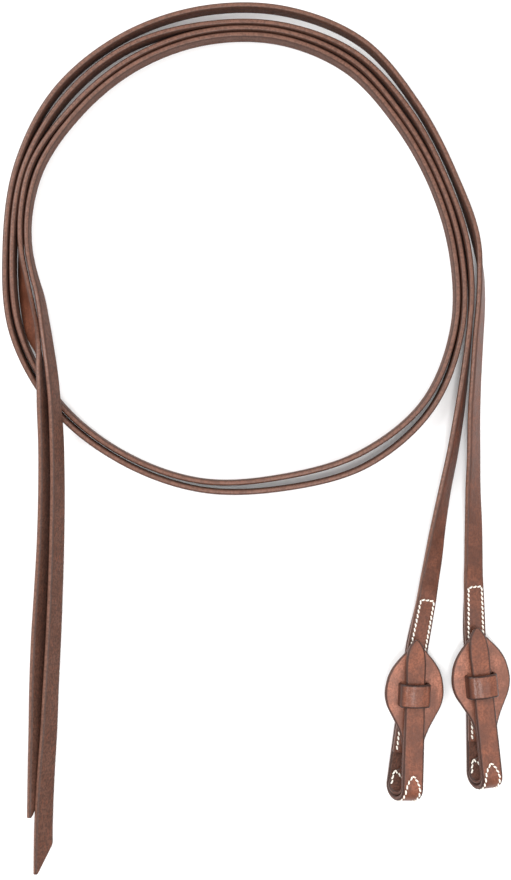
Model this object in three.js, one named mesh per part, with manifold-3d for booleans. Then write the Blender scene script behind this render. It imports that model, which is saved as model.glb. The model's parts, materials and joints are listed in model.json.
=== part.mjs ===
// Pair of western split reins: two heavy leather straps, coiled on their edges, each with a
// slant-cut tail and a quick-change bit end. At the bit end a second, shorter strap (the loop
// billet) is sewn behind the rein, folds forward to hold the bit's ring, and comes up the front
// as a pointed tongue. The tongue passes under a fixed keeper that stands through a slotted tab.
//
// Millimetres, +Z up, lying on the plane z = 0. A strap's local axes at every station are
// `along` (from the bit end to the tail), `across` (towards the edge that is raised on the
// table) and `out` (out of the smooth grain face).

import * as THREE from 'three';
import { mergeVertices } from 'three/addons/utils/BufferGeometryUtils.js';
import Module from 'manifold-3d';

const wasm = await Module();
wasm.setup();

// ---- Driving dimensions -------------------------------------------------------------------

const STRAP_WIDTH = 15.9; // 5/8 in harness leather
const REIN_THICKNESS = 4.2;
const BILLET_THICKNESS = 3.8;
const TAB_THICKNESS = 3.2;
const KEEPER_THICKNESS = 2.6;
const EDGE_CHAMFER = 0.9;
const GAP = 0.3; // clearance between neighbouring pieces
const TABLE_CLEARANCE = 0.2;

// Places along the bit end, measured up the strap from the bottom of the fold
const REIN_END = 32;
const LAP_TOP = 152;
const KEEPER_LENGTH = 17.4;
const HINGE_FOLD = 20.5; // the tongue leaves the sewn fold here
const TONGUE_END = 118;
const HINGE_TO_KEEPER = 10; // from the tongue's last hinge to the keeper's middle
const FOLD_CENTRE = 8.5;
const FOLD_DEPTH = 21; // over both legs of the fold

// How the bit end leans and where its twist begins
const BIT_END_ROLL = 10;
const LAP_TOP_ROLL = 24;
const TWIST_START = 112;

const TONGUE_SLOPE = Math.tan(THREE.MathUtils.degToRad(2.5));
const TONGUE_GAP = 0.6; // cut between two lengths of the tongue
const KEEPER_HALF_WIDTH = 11.6;
const KEEPER_CORNER = 2.2;
const KEEPER_BAR_THICKNESS = 0.9; // skived thin where it lies in the billet's face
const SLOT_HALF_WIDTH = 13;
const DISC_SHIFT = -1.5; // the loose disc sits a little to one side of the keeper
const SLOT_HALF_LENGTH = 9.1;
const NECK_HALF_WIDTH = 7.6;
const NECK_TOP = 30; // the neck leaves the front leg here, and lies on the rein as the disc from
const DISC_START = 52; // here on

const THREAD_DIAMETER = 0.9;
const THREAD_SUNK = 0.35; // depth of the thread's middle below the leather's face
const GROOVE_WIDTH = 1.5;
const GROOVE_DEPTH = 1.05;
const SEAM_INSET = 2.4; // seam's distance from the strap's edge

const TAIL_SLANT = 25; // how much further one edge of the tail runs than the other
const FLEX_GAP = 0.6;

// The coil: both reins wind twice about this centre, the right rein outside the left one
const COIL_CENTRE = new THREE.Vector2(-9.8, 142.6);
const COIL_STEP = 20; // degrees between the radii below
const ON_EDGE = 90;

// Half-width of the slotted tab at places along the bit end: [place, half-width]
const TAB_OUTLINE = [
  [112, 2.5], [110, 6], [106, 9.8], [102, 13.4], [97, 17.1], [91, 20.1], [84, 21.9], [76, 22.5],
  [68, 20.7], [60, 16.5], [52, 12.2], [46, 9.8], [40, 8.2], [34, NECK_HALF_WIDTH],
];

// Half-width of the tongue: a little narrower than the rein, then a rounded point
const TONGUE_OUTLINE = [
  [20, 7.9], [40, 7.6], [60, 7.4], [84, 7.1], [103, 7], [108, 6.3], [112, 5], [115.5, 3.1], [118, 0.9],
];

// The point of the liner that lies on the back leg, and the pointed seam rows on both legs:
// [place, half-width or distance from the middle]
const LINER_POINT = [[14, 6.6], [18, 4.4], [21, 2], [22.2, 0.8]];
const FOLD_SEAM_BACK = [[21, 0], [16, 2.8], [10, 5]];
const FOLD_SEAM_FRONT = [[18.6, 0], [14.5, 3], [9, 4.8]];

// Each rein: `back` is the back leg's line at the bit end [place, x, y]; `leg` and `tail` are
// points of the strap's middle [x, y, roll] and [x, y, z, roll]; `radii` are the coil's.
const REINS = {
  left: {
    keeperAt: 77,
    frontYaw: 6,
    back: [[0, 103.1, -262], [77, 113.8, -185.7], [110, 118.4, -153], [152, 124.2, -111.5]],
    flex: [129, -100, 29],
    leg: [
      [131, -88, 33], [134.4, -65, 46], [139.5, -36.3, 58], [145.3, -8.2, 62], [150.1, 20.2, 66],
      [154, 48.5, 73], [157.2, 77, 80], [159.2, 112.6, 86],
    ],
    radii: [
      166.1, 158, 159.5, 166.1, 167.2, 167.6, 171.6, 172.4, 172.4, 170.2,
      175.4, 177.1, 175.3, 174.2, 170.9, 174.2, 175.4, 166.5,
      155, 148.2, 148.1, 154.7, 157.5, 157.5, 157.5, 158.5, 162, 158.8,
    ],
    tail: [
      [-164.9, 124, 8.2, 93], [-160.3, 108, 9.5, 97], [-156.4, 89, 14, 101], [-152.8, 70.5, 20, 104],
      [-149.4, 50, 24.4, 107], [-147.4, 30, 24.7, 108], [-146, 8, 24.2, 113], [-145.9, -25, 19, 115],
      [-147, -65, 13, 117], [-148.6, -105, 9.4, 118], [-150.4, -146, 8.1, 120],
      [-152.2, -180, 8, 122], [-153.8, -214, 7.9, 126], [-156.1, -248.6, 7.7, 130],
      [-157.8, -285, 7.4, 135], [-158.2, -310.5, 7.1, 138],
    ],
  },
  right: {
    keeperAt: 74.5,
    frontYaw: 5,
    back: [[0, 163.9, -253.8], [77, 163.3, -176.8], [110, 161.2, -143.8], [152, 158.2, -101.8]],
    flex: [161.2, -92, 29],
    leg: [
      [161.2, -80, 31], [161.1, -60, 37], [160.7, -36.3, 46], [161.1, -8.2, 54], [161.3, 20.2, 57],
      [162.6, 48.5, 62], [164.3, 77, 64], [166.2, 105.2, 70], [166, 127, 78],
    ],
    radii: [
      173.9, 165.2, 167.2, 176.8, 179.2, 179.3, 180.1, 180.8, 177.6, 175.2,
      181.2, 182.6, 180.8, 180.4, 179.3, 184, 182.4, 171.8,
      160.2, 153, 152.9, 160.2, 162.4, 162.4, 162.4, 163.4, 167.9,
    ],
    tail: [
      [-173.6, 171.4, 8.3, 88], [-174.3, 142.6, 8.4, 82], [-172.1, 118, 8.6, 61],
      [-168.9, 99, 10, 48], [-164.2, 80, 14.7, 50], [-159.2, 66, 20, 80],
      [-157.2, 54, 23.4, 98], [-156.2, 45, 24.7, 103], [-155.4, 25, 24.6, 108],
      [-154.2, 2, 22.5, 115], [-154.8, -35, 16.5, 117], [-156.6, -75, 11, 118],
      [-159, -112, 8.6, 119], [-161.1, -146, 8.1, 120], [-162.2, -180.6, 8, 122],
      [-162.5, -214.6, 7.9, 126], [-163, -249, 7.6, 130], [-163.2, -268.5, 7.5, 132],
    ],
  },
};

const LEATHER = { strap: 0x7a4a3a, billet: 0x8a5443, tab: 0x935c48, keeper: 0x84503c };
const THREAD_COLOUR = 0xe8dfd0;
const LEATHER_ROUGHNESS = 0.62;
const THREAD_ROUGHNESS = 0.8;

// ---- Strap stations -----------------------------------------------------------------------

const UP = new THREE.Vector3(0, 0, 1);
const radians = THREE.MathUtils.degToRad;

/** A station of a strap lying along `along`, rolled so that its `across` edge is raised. */
function rolled(point, along, roll) {
  const t = along.clone().normalize();
  const side = new THREE.Vector3().crossVectors(UP, t).normalize();
  const up = new THREE.Vector3().crossVectors(t, side);
  const c = Math.cos(radians(roll));
  const s = Math.sin(radians(roll));
  const across = side.clone().multiplyScalar(c).addScaledVector(up, s);
  const out = up.clone().multiplyScalar(c).addScaledVector(side, -s);
  return { point, along: t, across, out };
}

/** The point that lies `across` and `out` of a station's middle. */
function offset(station, across, out) {
  return station.point.clone()
    .addScaledVector(station.across, across)
    .addScaledVector(station.out, out);
}

/** Height of the middle of a rein that rests on the table at a given roll. */
function restingHeight(roll) {
  const r = radians(roll);
  const rise = STRAP_WIDTH * Math.abs(Math.sin(r)) + REIN_THICKNESS * Math.abs(Math.cos(r));
  return rise / 2 + TABLE_CLEARANCE;
}

/** Stations through points [{ point, roll }], each facing along the line through its neighbours. */
function stationsThrough(route) {
  return route.map(({ point, roll }, i) => {
    const before = route[Math.max(i - 1, 0)].point;
    const after = route[Math.min(i + 1, route.length - 1)].point;
    return rolled(point, new THREE.Vector3().subVectors(after, before), roll);
  });
}

/** A value read from a list of [place, value, ...] rows, straight between neighbours. */
function lookUp(rows, place, column = 1) {
  const rising = rows[0][0] < rows[1][0];
  const next = rows.findIndex((row) => (rising ? row[0] >= place : row[0] <= place));
  if (next === 0) return rows[0][column];
  if (next < 0) return rows[rows.length - 1][column];
  const [a, b] = [rows[next - 1], rows[next]];
  return THREE.MathUtils.mapLinear(place, a[0], b[0], a[column], b[column]);
}

// ---- Solids -------------------------------------------------------------------------------

/** Eight-sided section of a strap, counter-clockwise about `along`: [across, out]. */
function strapSection(halfWidth, thickness) {
  const half = thickness / 2;
  const c = Math.min(EDGE_CHAMFER, halfWidth * 0.4);
  return [
    [halfWidth, half - c], [halfWidth - c, half], [-halfWidth + c, half], [-halfWidth, half - c],
    [-halfWidth, -half + c], [-halfWidth + c, -half], [halfWidth - c, -half], [halfWidth, -half + c],
  ];
}

/** A round section for a thread. */
function threadSection() {
  return Array.from({ length: 8 }, (_, i) => {
    const angle = (i / 8) * 2 * Math.PI;
    return [Math.cos(angle) * THREAD_DIAMETER / 2, Math.sin(angle) * THREAD_DIAMETER / 2];
  });
}

/** The square section of the groove that a thread lies in, open at the leather's face. */
function grooveSection() {
  const half = GROOVE_WIDTH / 2;
  return [[half, -GROOVE_DEPTH], [half, 1], [-half, 1], [-half, -GROOVE_DEPTH]];
}

/** A closed solid through rings of equally many points; `loop` joins the last ring to the first. */
function skin(rings, loop = false) {
  const count = rings[0].length;
  const positions = rings.flat().flatMap((p) => p.toArray());
  const faces = [];
  const spans = loop ? rings.length : rings.length - 1;
  for (let i = 0; i < spans; i += 1) {
    const near = i * count;
    const far = ((i + 1) % rings.length) * count;
    for (let j = 0; j < count; j += 1) {
      const k = (j + 1) % count;
      faces.push(near + j, near + k, far + k, near + j, far + k, far + j);
    }
  }
  if (!loop) {
    const last = (rings.length - 1) * count;
    for (let j = 1; j < count - 1; j += 1) {
      faces.push(0, j + 1, j, last, last + j, last + j + 1);
    }
  }
  const geometry = new THREE.BufferGeometry();
  geometry.setAttribute('position', new THREE.Float32BufferAttribute(positions, 3));
  geometry.setIndex(faces);
  return geometry;
}

/** A strap along its stations. `widthAt(i)` is the half-width, `slant` skews the last end. */
function strap(stations, thickness, widthAt = () => STRAP_WIDTH / 2, slant = 0) {
  const rings = stations.map((station, i) => (
    strapSection(widthAt(i), thickness).map(([a, o]) => {
      const corner = offset(station, a, o);
      const skew = i === stations.length - 1 ? (slant * a) / STRAP_WIDTH : 0;
      return corner.addScaledVector(station.along, skew);
    })
  ));
  return skin(rings);
}

/** A thread, or the groove cut for it, through stations. */
function cordThrough(stations, section, loop) {
  return skin(stations.map((station) => section.map(([a, o]) => offset(station, a, o))), loop);
}

function toManifold(geometry) {
  const bare = geometry.clone();
  bare.deleteAttribute('normal');
  bare.deleteAttribute('uv');
  const merged = mergeVertices(bare, 1e-5);
  return new wasm.Manifold(new wasm.Mesh({
    numProp: 3,
    vertProperties: new Float32Array(merged.attributes.position.array),
    triVerts: new Uint32Array(merged.index.array),
  }));
}

/** `geometry` with every cutter taken away. */
function cut(geometry, cutters) {
  let left = toManifold(geometry);
  cutters.forEach((cutter) => { left = left.subtract(toManifold(cutter)); });
  const mesh = left.getMesh();
  const result = new THREE.BufferGeometry();
  result.setAttribute('position', new THREE.BufferAttribute(mesh.vertProperties, 3));
  result.setIndex(new THREE.BufferAttribute(mesh.triVerts, 1));
  return result;
}

// ---- The bit end's own places -------------------------------------------------------------

/** The bit end's back leg and front leg, as functions that place points on them. */
function bitEndPlaces({ back, frontYaw, keeperAt }) {
  const rollAt = (u) => THREE.MathUtils.mapLinear(
    THREE.MathUtils.clamp(u, TWIST_START, LAP_TOP), TWIST_START, LAP_TOP, BIT_END_ROLL, LAP_TOP_ROLL);
  const backPoint = (u) => {
    const height = (STRAP_WIDTH / 2) * Math.sin(radians(rollAt(u))) + TABLE_CLEARANCE;
    return new THREE.Vector3(lookUp(back, u, 1), lookUp(back, u, 2), height);
  };
  /** Station on the back leg's table-side face, `lift` out of it. */
  const onBack = (u, lift) => {
    const along = new THREE.Vector3().subVectors(backPoint(Math.min(u + 4, LAP_TOP)), backPoint(u - 4));
    along.z = 0;
    const station = rolled(backPoint(u), along, rollAt(u));
    station.point.addScaledVector(station.out, lift);
    return station;
  };

  const base = onBack(keeperAt - 10, 0);
  const origin = backPoint(keeperAt);
  const turn = radians(frontYaw);
  const along = base.along.clone().multiplyScalar(Math.cos(turn))
    .addScaledVector(base.across, Math.sin(turn));
  const across = base.across.clone().multiplyScalar(Math.cos(turn))
    .addScaledVector(base.along, -Math.sin(turn));
  const { out } = base;
  /** Point of the front: `u` up the strap, `a` across it, `w` out from the back leg's face. */
  const front = (u, a, w) => origin.clone()
    .addScaledVector(along, u - keeperAt)
    .addScaledVector(across, a)
    .addScaledVector(out, w);
  /** How far to the side of the front leg's line the back leg's line runs. */
  const drift = (u) => (keeperAt - u) * Math.sin(turn);
  const hinges = [HINGE_FOLD, (HINGE_FOLD + keeperAt - HINGE_TO_KEEPER) / 2, keeperAt - HINGE_TO_KEEPER];
  return { onBack, front, drift, along, across, out, keeperAt, hinges };
}

/** Height of the tongue's grain face over the back leg's table-side face. */
function tongueFace(u) {
  return FOLD_DEPTH - (u - FOLD_CENTRE) * TONGUE_SLOPE;
}

/** Stations through front-leg places [u, a, w], travelling in the order given. */
function frontStations(places, rows) {
  const points = rows.map(([u, a, w]) => places.front(u, a, w));
  return points.map((point, i) => {
    const before = points[Math.max(i - 1, 0)];
    const after = points[Math.min(i + 1, points.length - 1)];
    const along = new THREE.Vector3().subVectors(after, before).projectOnPlane(places.across).normalize();
    return { point, along, across: places.across, out: along.clone().cross(places.across) };
  });
}

/** Rows [u, a, w] round the fold on a radius, from the back leg's side to the front leg's. */
function foldRows(places, radius, from = 0, to = 180, step = 15) {
  const rows = [];
  const fullDrift = places.drift(FOLD_CENTRE);
  for (let angle = from; angle <= to; angle += step) {
    const r = radians(angle);
    rows.push([
      FOLD_CENTRE - radius * Math.sin(r),
      fullDrift * (1 + Math.cos(r)) / 2,
      FOLD_DEPTH / 2 - radius * Math.cos(r),
    ]);
  }
  return rows;
}

/** A box in the front leg's frame: half-extent across, and from/to up the strap and outwards. */
function frontBox(places, halfAcross, [u0, u1], [w0, w1]) {
  const corners = [[u0, w0], [u1, w0], [u1, w1], [u0, w1]];
  const ring = (a) => corners.map(([u, w]) => places.front(u, a, w));
  return skin([ring(halfAcross), ring(-halfAcross)]);
}

// ---- Pieces -------------------------------------------------------------------------------

/** The rein's stations over the lap, from its cut end to the top of the billet. */
function lapStations(places) {
  const middle = BILLET_THICKNESS + GAP + REIN_THICKNESS / 2;
  return [REIN_END, 60, 85, TWIST_START, 125, 138, LAP_TOP].map((u) => places.onBack(u, middle));
}

function restingPoint([x, y, roll]) {
  return { point: new THREE.Vector3(x, y, restingHeight(roll)), roll };
}

/** Station at the flex, `ahead` of its middle towards the coil. */
function flexStation(rein, ahead) {
  const [x, y, roll] = rein.flex;
  const { point } = restingPoint([x, y + ahead, roll]);
  const along = new THREE.Vector3(rein.leg[0][0] - x, rein.leg[0][1] - y, 0);
  return rolled(point, along, roll);
}

/** The short length of rein that swings with the bit end, with the seam's groove in its face. */
function reinBitLeg(rein, places) {
  const stations = [...lapStations(places), flexStation(rein, -FLEX_GAP / 2)];
  return cut(strap(stations, REIN_THICKNESS), [cordThrough(lapSeam(places, 0), grooveSection(), false)]);
}

/** The rein's route up the leg, twice round the coil and down the tail. */
function reinRoute(rein) {
  const route = rein.leg.map(restingPoint);
  rein.radii.forEach((radius, i) => {
    const next = rein.radii[i + 1];
    route.push(coilPoint(i * COIL_STEP, radius));
    if (next !== undefined) {
      route.push(coilPoint((i + 0.5) * COIL_STEP, (radius + next) / 2));
    }
  });
  rein.tail.forEach(([tx, ty, tz, tailRoll]) => {
    route.push({ point: new THREE.Vector3(tx, ty, tz), roll: tailRoll });
  });
  return route;
}

function coilPoint(angle, radius) {
  const x = COIL_CENTRE.x + radius * Math.cos(radians(angle));
  const y = COIL_CENTRE.y + radius * Math.sin(radians(angle));
  return { point: new THREE.Vector3(x, y, restingHeight(ON_EDGE)), roll: ON_EDGE };
}

/** The rein's own two long lengths, parted where it leaves the coil: coil with its leg, and tail. */
function reinLengths(rein) {
  const stations = [flexStation(rein, FLEX_GAP / 2), ...stationsThrough(reinRoute(rein))];
  const parting = stations.length - rein.tail.length;
  const parted = (shift) => {
    const station = stations[parting];
    return { ...station, point: station.point.clone().addScaledVector(station.along, shift) };
  };
  const coil = [...stations.slice(0, parting), parted(-GAP / 2)];
  const tail = [parted(GAP / 2), ...stations.slice(parting + 1)];
  const halfWidth = () => STRAP_WIDTH / 2;
  return {
    coil: strap(coil, REIN_THICKNESS),
    tail: strap(tail, REIN_THICKNESS, halfWidth, TAIL_SLANT),
  };
}

/** The billet: down behind the rein, round the fold and up the front as far as the seam's point. */
function billetStations(places) {
  const back = [LAP_TOP, 138, 125, TWIST_START, 85, 60, REIN_END, 22].map((u) => {
    const { point, along, across, out } = places.onBack(u, BILLET_THICKNESS / 2);
    return { point, along: along.negate(), across, out: out.negate() };
  });
  const middle = FOLD_DEPTH / 2 - BILLET_THICKNESS / 2;
  const end = HINGE_FOLD - TONGUE_GAP / 2;
  const rows = foldRows(places, middle);
  rows.push([end, 0, tongueFace(end) - BILLET_THICKNESS / 2]);
  return [...back, ...frontStations(places, rows)];
}

function loopBillet(places) {
  const keeperBed = frontBox(places, KEEPER_HALF_WIDTH + GAP,
    [places.keeperAt - KEEPER_LENGTH / 2 - GAP, places.keeperAt + KEEPER_LENGTH / 2 + GAP],
    [BILLET_THICKNESS - KEEPER_BAR_THICKNESS - GAP, BILLET_THICKNESS + 1]);
  return cut(strap(billetStations(places), BILLET_THICKNESS),
    [keeperBed, cordThrough(foldSeam(places, 0), grooveSection(), true)]);
}

/** One length of the tongue, between two places up the strap. */
function tonguePiece(places, from, to) {
  const marks = TONGUE_OUTLINE.map(([u]) => u).filter((u) => u > from && u < to);
  const stops = [from, ...marks, to];
  const rows = stops.map((u) => [u, 0, tongueFace(u) - BILLET_THICKNESS / 2]);
  return strap(frontStations(places, rows), BILLET_THICKNESS, (i) => lookUp(TONGUE_OUTLINE, stops[i]));
}

/** The slotted tab: disc over the rein, neck down inside the front leg, liner round the fold. */
function slottedTab(places) {
  const over = BILLET_THICKNESS + GAP + REIN_THICKNESS + GAP + TAB_THICKNESS / 2;
  const under = BILLET_THICKNESS + GAP + TAB_THICKNESS / 2;
  const disc = TAB_OUTLINE.map(([u, halfWidth]) => {
    const onRein = THREE.MathUtils.smoothstep(u, NECK_TOP, DISC_START);
    const height = THREE.MathUtils.lerp(tongueFace(u) - under, over, onRein);
    return { row: [u, DISC_SHIFT * onRein, height], halfWidth };
  });
  const neck = [28, 20].map((u) => ({ row: [u, 0, tongueFace(u) - under], halfWidth: NECK_HALF_WIDTH }));
  const liner = foldRows(places, FOLD_DEPTH / 2 - under).reverse()
    .map((row) => ({ row, halfWidth: NECK_HALF_WIDTH }));
  const point = LINER_POINT
    .map(([u, halfWidth]) => ({ row: [u, places.drift(u), under], halfWidth }));
  const all = [...disc, ...neck, ...liner, ...point];
  const stations = frontStations(places, all.map(({ row }) => row));
  const slot = frontBox(places, SLOT_HALF_WIDTH,
    [places.keeperAt - SLOT_HALF_LENGTH, places.keeperAt + SLOT_HALF_LENGTH], [over - 5, over + 5]);
  return cut(strap(stations, TAB_THICKNESS, (i) => all[i].halfWidth), [slot]);
}

/** The keeper: a leather ring round the rein and tongue, thin where it is sewn in. */
function keeper(places) {
  const halfWidth = KEEPER_HALF_WIDTH;
  const roof = tongueFace(places.keeperAt - KEEPER_LENGTH / 2) + GAP + 0.1;
  const bar = BILLET_THICKNESS - KEEPER_BAR_THICKNESS;
  const round = KEEPER_CORNER;
  const profile = new THREE.Shape();
  profile.moveTo(-halfWidth, bar);
  profile.lineTo(halfWidth, bar);
  profile.lineTo(halfWidth, roof + KEEPER_THICKNESS - round);
  profile.quadraticCurveTo(halfWidth, roof + KEEPER_THICKNESS, halfWidth - round, roof + KEEPER_THICKNESS);
  profile.lineTo(-halfWidth + round, roof + KEEPER_THICKNESS);
  profile.quadraticCurveTo(-halfWidth, roof + KEEPER_THICKNESS, -halfWidth, roof + KEEPER_THICKNESS - round);
  const inner = halfWidth - KEEPER_THICKNESS;
  const mouth = new THREE.Path();
  mouth.moveTo(-inner, BILLET_THICKNESS);
  mouth.lineTo(-inner, roof);
  mouth.lineTo(inner, roof);
  mouth.lineTo(inner, BILLET_THICKNESS);
  profile.holes.push(mouth);
  const ring = new THREE.ExtrudeGeometry(profile, {
    depth: KEEPER_LENGTH, bevelEnabled: false, curveSegments: 4,
  });
  const base = places.front(places.keeperAt - KEEPER_LENGTH / 2, 0, 0);
  return ring.applyMatrix4(
    new THREE.Matrix4().makeBasis(places.across, places.out, places.along).setPosition(base));
}

/** Stations of the U-shaped seam through the lap, `rise` over the rein's grooved face. */
function lapSeam(places, rise) {
  const face = BILLET_THICKNESS + GAP + REIN_THICKNESS;
  const side = STRAP_WIDTH / 2 - SEAM_INSET;
  const top = LAP_TOP - 5;
  const stops = [REIN_END + 2, 60, 85, TWIST_START, 125, 138, top - 2];
  const rows = [
    ...stops.map((u) => [u, side]),
    [top, side - 2], [top, -side + 2],
    ...stops.reverse().map((u) => [u, -side]),
  ];
  const points = rows.map(([u, a]) => {
    const station = places.onBack(u, face + rise);
    return { point: offset(station, a, 0), out: station.out };
  });
  return seamStations(points, false);
}

/** Stations of the closed seam through the fold: a point on each leg, a row round each edge. */
function foldSeam(places, rise) {
  const side = STRAP_WIDTH / 2 - SEAM_INSET;
  const round = foldRows(places, FOLD_DEPTH / 2 + rise, 30, 150, 20);
  const edge = (sign) => round.map(([u, a, w]) => places.front(u, a + sign * side, w));
  const frontRow = ([u, a]) => places.front(u, a, tongueFace(u) + rise);
  const backRow = ([u, a]) => places.front(u, places.drift(u) + a, -rise);
  const mirrored = (rows) => rows.slice(1).reverse().map(([u, a]) => [u, -a]);
  const points = [
    ...FOLD_SEAM_BACK.map(backRow),
    ...edge(1),
    ...[...FOLD_SEAM_FRONT].reverse().map(frontRow),
    ...[...mirrored(FOLD_SEAM_FRONT)].reverse().map(frontRow),
    ...edge(-1).reverse(),
    ...mirrored(FOLD_SEAM_BACK).map(backRow),
  ];
  const heart = places.front(FOLD_CENTRE, places.drift(FOLD_CENTRE) / 2, FOLD_DEPTH / 2);
  return seamStations(points.map((point) => ({ point, out: seamNormal(places, point, heart) })), true);
}

/** Direction out of the fold's outer face at a seam point. */
function seamNormal(places, point, heart) {
  const reach = new THREE.Vector3().subVectors(point, heart);
  const up = reach.dot(places.along);
  const out = reach.dot(places.out);
  if (up > 0) return places.out.clone().multiplyScalar(Math.sign(out));
  return places.along.clone().multiplyScalar(up).addScaledVector(places.out, out).normalize();
}

/** Stations for a thread or groove through seam points, each with the face's normal. */
function seamStations(points, loop) {
  const count = points.length;
  return points.map(({ point, out }, i) => {
    const before = points[loop ? (i + count - 1) % count : Math.max(i - 1, 0)].point;
    const after = points[loop ? (i + 1) % count : Math.min(i + 1, count - 1)].point;
    const along = new THREE.Vector3().subVectors(after, before).normalize();
    const across = new THREE.Vector3().crossVectors(out, along).normalize();
    return { point, along, across, out: new THREE.Vector3().crossVectors(along, across) };
  });
}

// ---- Assembly -----------------------------------------------------------------------------

function piece(name, geometry, colour, roughness = LEATHER_ROUGHNESS) {
  const shape = geometry.index ? geometry.toNonIndexed() : geometry;
  shape.computeVertexNormals();
  const material = new THREE.MeshStandardMaterial({ color: colour, roughness, metalness: 0 });
  const mesh = new THREE.Mesh(shape, material);
  mesh.name = name;
  return mesh;
}

function buildRein(side, rein) {
  const places = bitEndPlaces(rein);
  const half = TONGUE_GAP / 2;
  const [fold, hump, last] = places.hinges;
  const tongue = (from, to) => tonguePiece(places, from + half, to);
  const thread = (seam, loop) => cordThrough(seam(places, -THREAD_SUNK), threadSection(), loop);
  const { coil, tail } = reinLengths(rein);
  const leather = [
    ['rein_coil', coil, LEATHER.strap],
    ['rein_tail', tail, LEATHER.strap],
    ['rein_bit_leg', reinBitLeg(rein, places), LEATHER.strap],
    ['loop_billet', loopBillet(places), LEATHER.billet],
    ['tongue_lower', tongue(fold, hump - half), LEATHER.billet],
    ['tongue_middle', tongue(hump, last - half), LEATHER.billet],
    ['tongue_tip', tongue(last, TONGUE_END), LEATHER.billet],
    ['slotted_tab', slottedTab(places), LEATHER.tab],
    ['keeper', keeper(places), LEATHER.keeper],
  ];
  return [
    ...leather.map(([name, geometry, colour]) => piece(`${side}_${name}`, geometry, colour)),
    piece(`${side}_lap_thread`, thread(lapSeam, false), THREAD_COLOUR, THREAD_ROUGHNESS),
    piece(`${side}_fold_thread`, thread(foldSeam, true), THREAD_COLOUR, THREAD_ROUGHNESS),
  ];
}

const reins = new THREE.Group();
for (const [side, rein] of Object.entries(REINS)) {
  reins.add(...buildRein(side, rein));
}

// Put the middle of the outline over the origin
const box = new THREE.Box3().setFromObject(reins);
const middle = box.getCenter(new THREE.Vector3());
reins.position.set(-middle.x, -middle.y, -box.min.z);

export default reins;
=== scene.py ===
"""A pair of coiled western split reins with quick-change bit ends, lying on a pale table.

Lengths are in metres. A strap is described by stations: points along its middle, each with the
directions `along` (from the bit end to the tail), `across` (towards the edge that is raised on
the table) and `out` (out of the smooth grain face). Every piece of leather is a strip with
rounded edges through such stations, and its UV maps hold where each point lay while the leather
was still flat: "flat" is (along, across), with each rein's own place on the hide added to
across, and "deep" is (out of the middle, in from the edge).
"""
import json
import math

import bpy
import numpy as np
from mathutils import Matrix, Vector


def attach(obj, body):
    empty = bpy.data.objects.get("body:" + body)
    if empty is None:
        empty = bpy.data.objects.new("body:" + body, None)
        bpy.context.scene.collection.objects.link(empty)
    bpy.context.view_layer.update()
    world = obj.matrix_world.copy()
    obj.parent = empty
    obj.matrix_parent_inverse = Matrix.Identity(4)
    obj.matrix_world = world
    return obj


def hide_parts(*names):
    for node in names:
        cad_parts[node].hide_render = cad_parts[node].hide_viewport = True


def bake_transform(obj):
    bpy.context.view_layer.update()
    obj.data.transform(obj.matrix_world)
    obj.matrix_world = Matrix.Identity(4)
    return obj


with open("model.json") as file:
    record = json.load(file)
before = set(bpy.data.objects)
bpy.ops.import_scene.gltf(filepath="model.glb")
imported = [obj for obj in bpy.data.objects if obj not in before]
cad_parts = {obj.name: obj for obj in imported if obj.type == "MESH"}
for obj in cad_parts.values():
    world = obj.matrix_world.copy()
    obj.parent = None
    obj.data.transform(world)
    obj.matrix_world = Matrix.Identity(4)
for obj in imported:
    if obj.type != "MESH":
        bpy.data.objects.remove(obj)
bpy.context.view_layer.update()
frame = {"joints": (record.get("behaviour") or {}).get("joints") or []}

# ---- Sizes, as the CAD model has them ---------------------------------------------------------

MM = 0.001
STRAP_WIDTH = 15.9 * MM
REIN_THICKNESS = 4.2 * MM
BILLET_THICKNESS = 3.8 * MM
TAB_THICKNESS = 3.2 * MM
KEEPER_THICKNESS = 2.6 * MM
GAP = 0.3 * MM
TABLE_CLEARANCE = 0.2 * MM
EDGE_RADIUS = 1.7 * MM
END_RADIUS = 0.9 * MM

REIN_END = 32 * MM
LAP_TOP = 152 * MM
TWIST_START = 112 * MM
TONGUE_END = 118 * MM
TAB_END = 112 * MM
LINER_END = 22.2 * MM
FOLD_CENTRE = 8.5 * MM
FOLD_DEPTH = 21 * MM
HINGE_FOLD = 20.5 * MM
HINGE_TO_KEEPER = 10 * MM
KEEPER_LENGTH = 17.4 * MM
KEEPER_HALF_WIDTH = 11.6 * MM
SLOT_HALF_WIDTH = 13 * MM
SLOT_HALF_LENGTH = 9.1 * MM
DISC_SHIFT = -1.5 * MM
NECK_HALF_WIDTH = 7.6 * MM
TONGUE_SLOPE = math.tan(math.radians(2.5))
BIT_END_ROLL = 10
LAP_TOP_ROLL = 24
ON_EDGE = 90
TAIL_SLANT = 25 * MM
TAIL_SLANT_RUN = 45 * MM
TAIL_TIP_WIDTH = 2.6 * MM
TAIL_TIP_DROP = 3 * MM

THREAD_DIAMETER = 1.3 * MM
STITCH_PITCH = 3.5 * MM
STITCH_LENGTH = 2.6 * MM
SEAM_INSET = 2.4 * MM
SEAM_DEPTH = 0.6 * MM
SEAM_REACH = 0.75 * MM
THREAD_PROUD = 0.16 * MM
STITCH_SLANT = 0.4 * MM

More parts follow.
